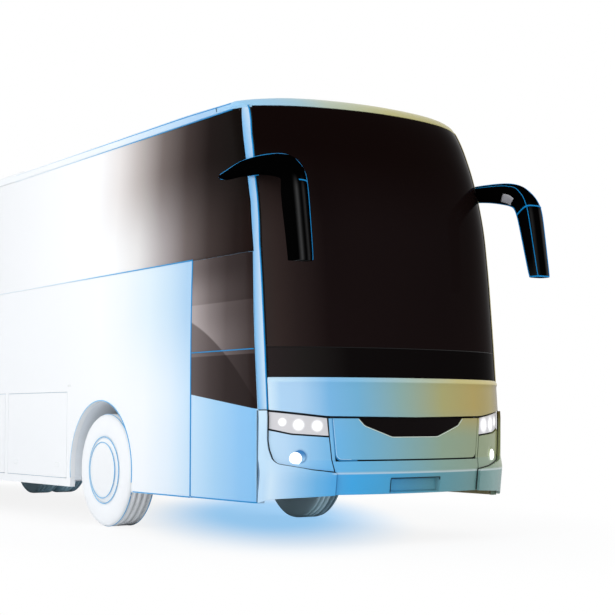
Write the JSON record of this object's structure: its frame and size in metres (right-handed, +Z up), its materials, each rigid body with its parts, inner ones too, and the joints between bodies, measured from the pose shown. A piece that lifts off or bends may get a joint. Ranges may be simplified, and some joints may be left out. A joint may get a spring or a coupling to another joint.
{
  "type": "touring coach bus",
  "caption": "High-deck touring coach with bowed windscreen, hanging mirrors, swing-out doors, luggage flaps, steered front wheels and twin rear wheels.",
  "frame": {"origin": "on the ground under the middle of the overall box", "axes": "+X forward, +Y to the left (driver) side, +Z up"},
  "size_m": [12.4296, 2.655, 3.8978],
  "materials": {
    "body_paint": "gloss",
    "dark_glass": "gloss",
    "black_trim": "gloss",
    "lamp_clear": "gloss",
    "lamp_red": "gloss",
    "hatch_plastic": "matte",
    "tyre": "matte",
    "wheel_steel": "satin",
    "chassis_black": "satin",
    "floor_mat": "matte",
    "dash_plastic": "matte",
    "seat_fabric": "matte"
  },
  "bodies": {
    "root": {"bumper_centre": "body_paint", "bumper_corners": "body_paint", "chassis_frame": "chassis_black", "dashboard": "dash_plastic", "driver_seat": "seat_fabric", "driver_window": "dark_glass", "engine": "chassis_black", "entrance_steps": "floor_mat", "floor_deck": "floor_mat", "fog_panels": "body_paint", "front_axle": "chassis_black", "front_frame": "body_paint", "headlights": "lamp_clear", "luggage_hold": "chassis_black", "mirrors": "black_trim", "passenger_seats": "seat_fabric", "rear_axle": "chassis_black", "rear_bumper": "body_paint", "rear_wall": "body_paint", "rear_window": "dark_glass", "roof_air_unit": "body_paint", "roof_panel": "body_paint", "side_wall_left": "body_paint", "side_wall_right": "body_paint", "side_windows": "dark_glass", "steering_wheel": "dash_plastic", "tail_lights": "lamp_red", "upper_front_panel": "body_paint", "wheelhouses": "chassis_black", "windscreen": "dark_glass", "windscreen_band": "black_trim"},
    "knuckle_left": {"knuckle_left": "chassis_black"},
    "knuckle_right": {"knuckle_right": "chassis_black"},
    "front_wheel_left": {"front_wheel_left": "wheel_steel", "front_tyre_left": "tyre"},
    "front_wheel_right": {"front_wheel_right": "wheel_steel", "front_tyre_right": "tyre"},
    "rear_wheels_left": {"rear_wheels_left": "wheel_steel", "rear_tyres_left": "tyre"},
    "rear_wheels_right": {"rear_wheels_right": "wheel_steel", "rear_tyres_right": "tyre"},
    "front_door_arm": {"front_door_arm": "chassis_black"},
    "front_door": {"front_door": "body_paint", "front_door_glass": "dark_glass"},
    "middle_door_arm": {"middle_door_arm": "chassis_black"},
    "middle_door": {"middle_door": "body_paint", "middle_door_glass": "dark_glass"},
    "front_service_flap": {"front_service_flap": "body_paint", "nose_plate": "black_trim"},
    "engine_lid": {"engine_lid": "body_paint"},
    "roof_hatch_front": {"roof_hatch_front": "hatch_plastic"},
    "roof_hatch_rear": {"roof_hatch_rear": "hatch_plastic"},
    "luggage_flap_left_1": {"luggage_flap_left_1": "body_paint"},
    "luggage_flap_left_2": {"luggage_flap_left_2": "body_paint"},
    "luggage_flap_right_1": {"luggage_flap_right_1": "body_paint"},
    "luggage_flap_right_2": {"luggage_flap_right_2": "body_paint"}
  },
  "joints": [
    {"name": "steer_left", "type": "hinge", "parent": "root", "child": "knuckle_left", "pos_m": [2.732, 0.9, 0.538], "axis": [0, 0, 1], "range_deg": [-45, 45]},
    {"name": "front_wheel_left_spin", "type": "hinge", "parent": "knuckle_left", "child": "front_wheel_left", "pos_m": [2.732, 1.085, 0.538], "axis": [0, 1, 0], "continuous": true},
    {"name": "rear_wheels_left_spin", "type": "hinge", "parent": "root", "child": "rear_wheels_left", "pos_m": [-3.268, 1.085, 0.538], "axis": [0, 1, 0], "continuous": true},
    {"name": "steer_right", "type": "hinge", "parent": "root", "child": "knuckle_right", "pos_m": [2.732, -0.9, 0.538], "axis": [0, 0, 1], "range_deg": [-45, 45]},
    {"name": "front_wheel_right_spin", "type": "hinge", "parent": "knuckle_right", "child": "front_wheel_right", "pos_m": [2.732, -1.085, 0.538], "axis": [0, 1, 0], "continuous": true},
    {"name": "rear_wheels_right_spin", "type": "hinge", "parent": "root", "child": "rear_wheels_right", "pos_m": [-3.268, -1.085, 0.538], "axis": [0, 1, 0], "continuous": true},
    {"name": "front_door_swing", "type": "hinge", "parent": "root", "child": "front_door_arm", "pos_m": [5.32459, -1.075, 1.05], "axis": [0, 0, 1], "range_deg": [0, 115]},
    {"name": "front_door_follow", "type": "hinge", "parent": "front_door_arm", "child": "front_door", "pos_m": [4.76459, -1.075, 1.05], "axis": [0, 0, 1], "range_deg": [-115, 0]},
    {"name": "middle_door_swing", "type": "hinge", "parent": "root", "child": "middle_door_arm", "pos_m": [-2.088, -1.075, 1.05], "axis": [0, 0, -1], "range_deg": [0, 115]},
    {"name": "middle_door_follow", "type": "hinge", "parent": "middle_door_arm", "child": "middle_door", "pos_m": [-1.618, -1.075, 1.05], "axis": [0, 0, -1], "range_deg": [-115, 0]},
    {"name": "front_service_flap_lift", "type": "hinge", "parent": "root", "child": "front_service_flap", "pos_m": [5.997, 0, 1.039], "axis": [0, -1, 0], "range_deg": [0, 80]},
    {"name": "engine_lid_lift", "type": "hinge", "parent": "root", "child": "engine_lid", "pos_m": [-6.215, 0, 1.98], "axis": [0, 1, 0], "range_deg": [0, 75]},
    {"name": "roof_hatch_front_tilt", "type": "hinge", "parent": "root", "child": "roof_hatch_front", "pos_m": [2.212, 0, 3.782], "axis": [0, 1, 0], "range_deg": [0, 20]},
    {"name": "roof_hatch_rear_tilt", "type": "hinge", "parent": "root", "child": "roof_hatch_rear", "pos_m": [-2.588, 0, 3.782], "axis": [0, 1, 0], "range_deg": [0, 20]},
    {"name": "luggage_flap_left_1_lift", "type": "hinge", "parent": "root", "child": "luggage_flap_left_1", "pos_m": [-1.343, 1.275, 1.29], "axis": [1, 0, 0], "range_deg": [0, 88]},
    {"name": "luggage_flap_left_2_lift", "type": "hinge", "parent": "root", "child": "luggage_flap_left_2", "pos_m": [0.872, 1.275, 1.29], "axis": [1, 0, 0], "range_deg": [0, 88]},
    {"name": "luggage_flap_right_1_lift", "type": "hinge", "parent": "root", "child": "luggage_flap_right_1", "pos_m": [-0.448, -1.275, 1.29], "axis": [-1, 0, 0], "range_deg": [0, 88]},
    {"name": "luggage_flap_right_2_lift", "type": "hinge", "parent": "root", "child": "luggage_flap_right_2", "pos_m": [1.222, -1.275, 1.29], "axis": [-1, 0, 0], "range_deg": [0, 88]}
  ],
  "couplings": [
    {"joint": "steer_right", "follows": "steer_left", "ratio": 1},
    {"joint": "front_door_follow", "follows": "front_door_swing", "ratio": -1},
    {"joint": "middle_door_follow", "follows": "middle_door_swing", "ratio": -1}
  ]
}
